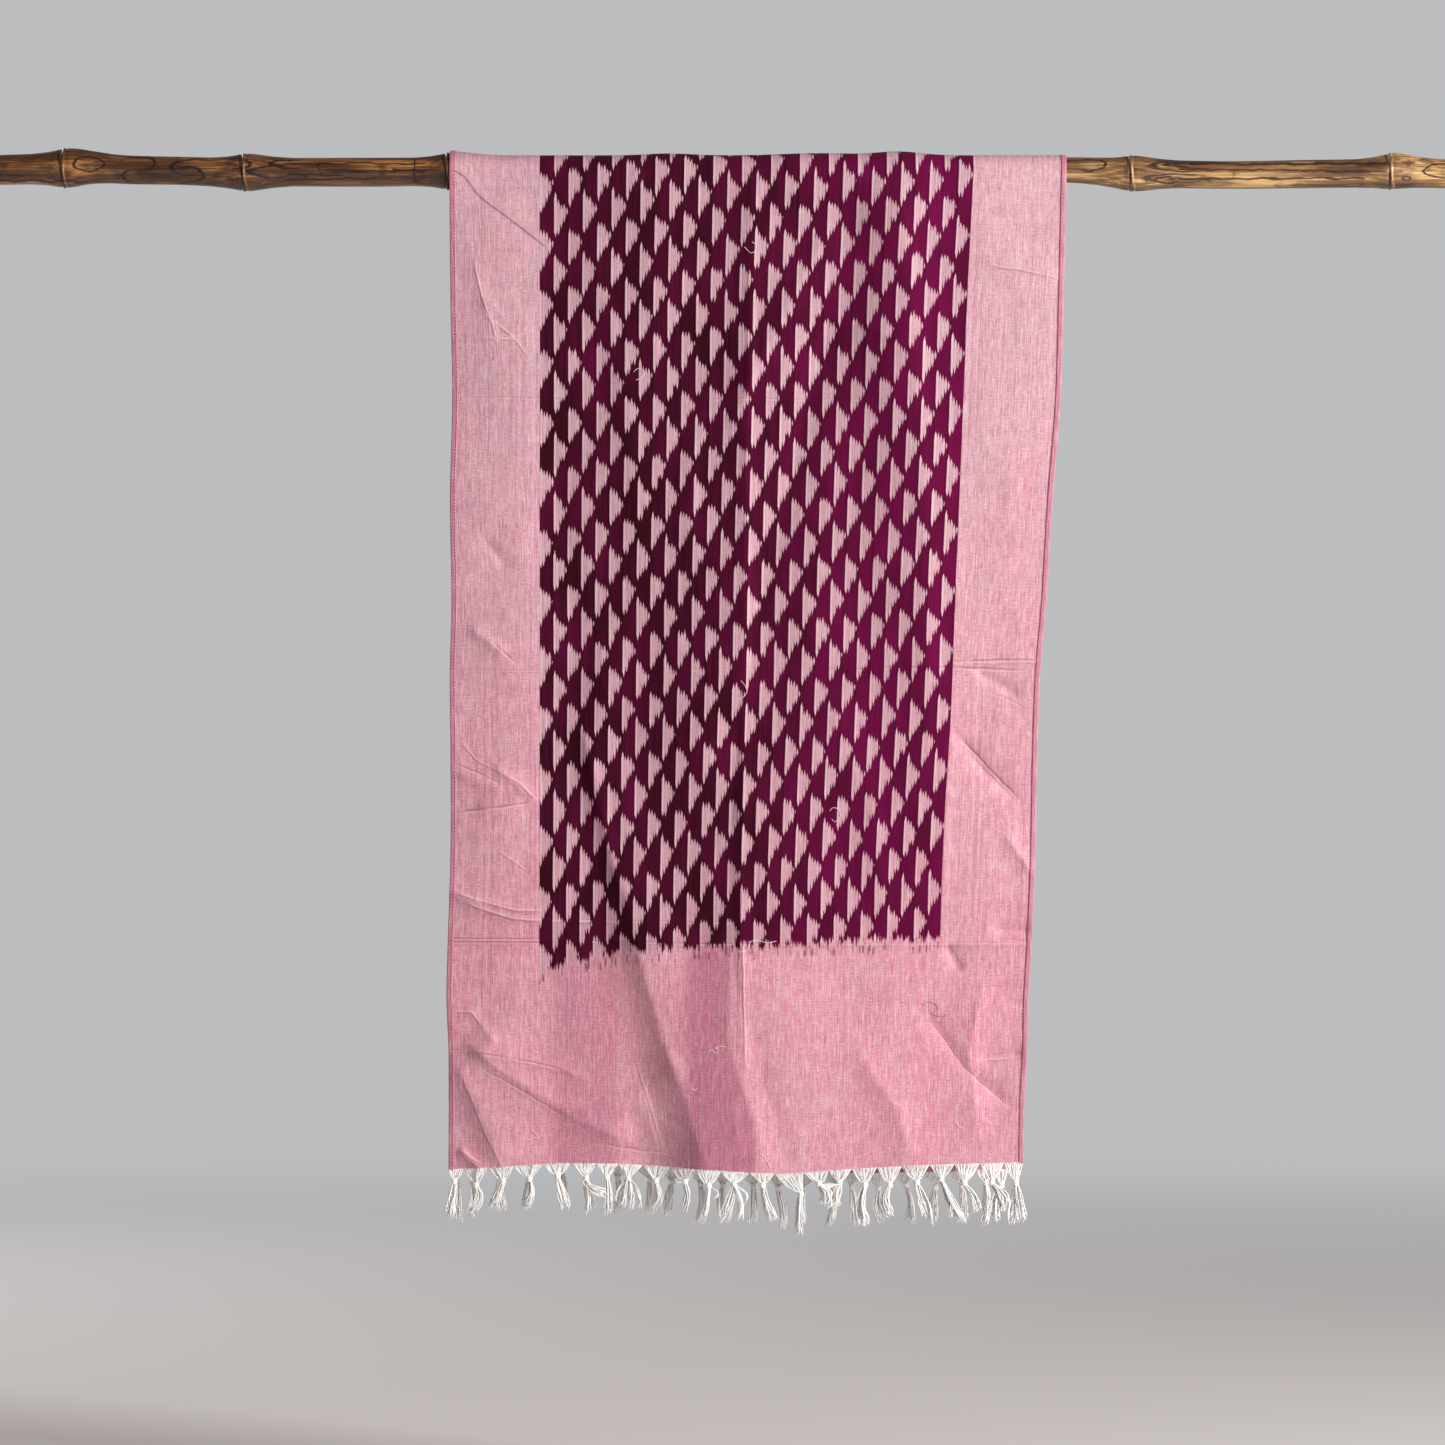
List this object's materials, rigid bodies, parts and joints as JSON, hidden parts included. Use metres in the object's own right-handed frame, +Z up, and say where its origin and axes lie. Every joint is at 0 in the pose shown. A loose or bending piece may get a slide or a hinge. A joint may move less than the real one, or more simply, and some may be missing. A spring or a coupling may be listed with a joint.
{
  "type": "ikat stole on a bamboo rod",
  "caption": "Long cotton stole with an ikat field, plain borders and knotted white fringe, folded over a round bamboo rod and hanging down in front of it and behind.",
  "frame": {"origin": "on the rod's axis, at the middle of the stretch of cloth that lies over it", "axes": "+X along the rod to the viewer's right, -Y towards the viewer, the side of the stole that shows, +Z up"},
  "size_m": [1.41, 0.0559, 0.9823],
  "materials": {
    "ikat_cloth": "matt hand-woven cotton, pink with a dark plum ikat field",
    "white_yarn": "soft off-white cotton yarn, knotted",
    "bamboo": "lacquered bamboo, brown with darker streaks"
  },
  "bodies": {
    "root": {"stole_front": "ikat_cloth", "stole_over_rod": "ikat_cloth", "stole_back": "ikat_cloth", "fringe_front": "white_yarn", "fringe_back": "white_yarn", "bamboo_rod": "bamboo"}
  },
  "joints": []
}
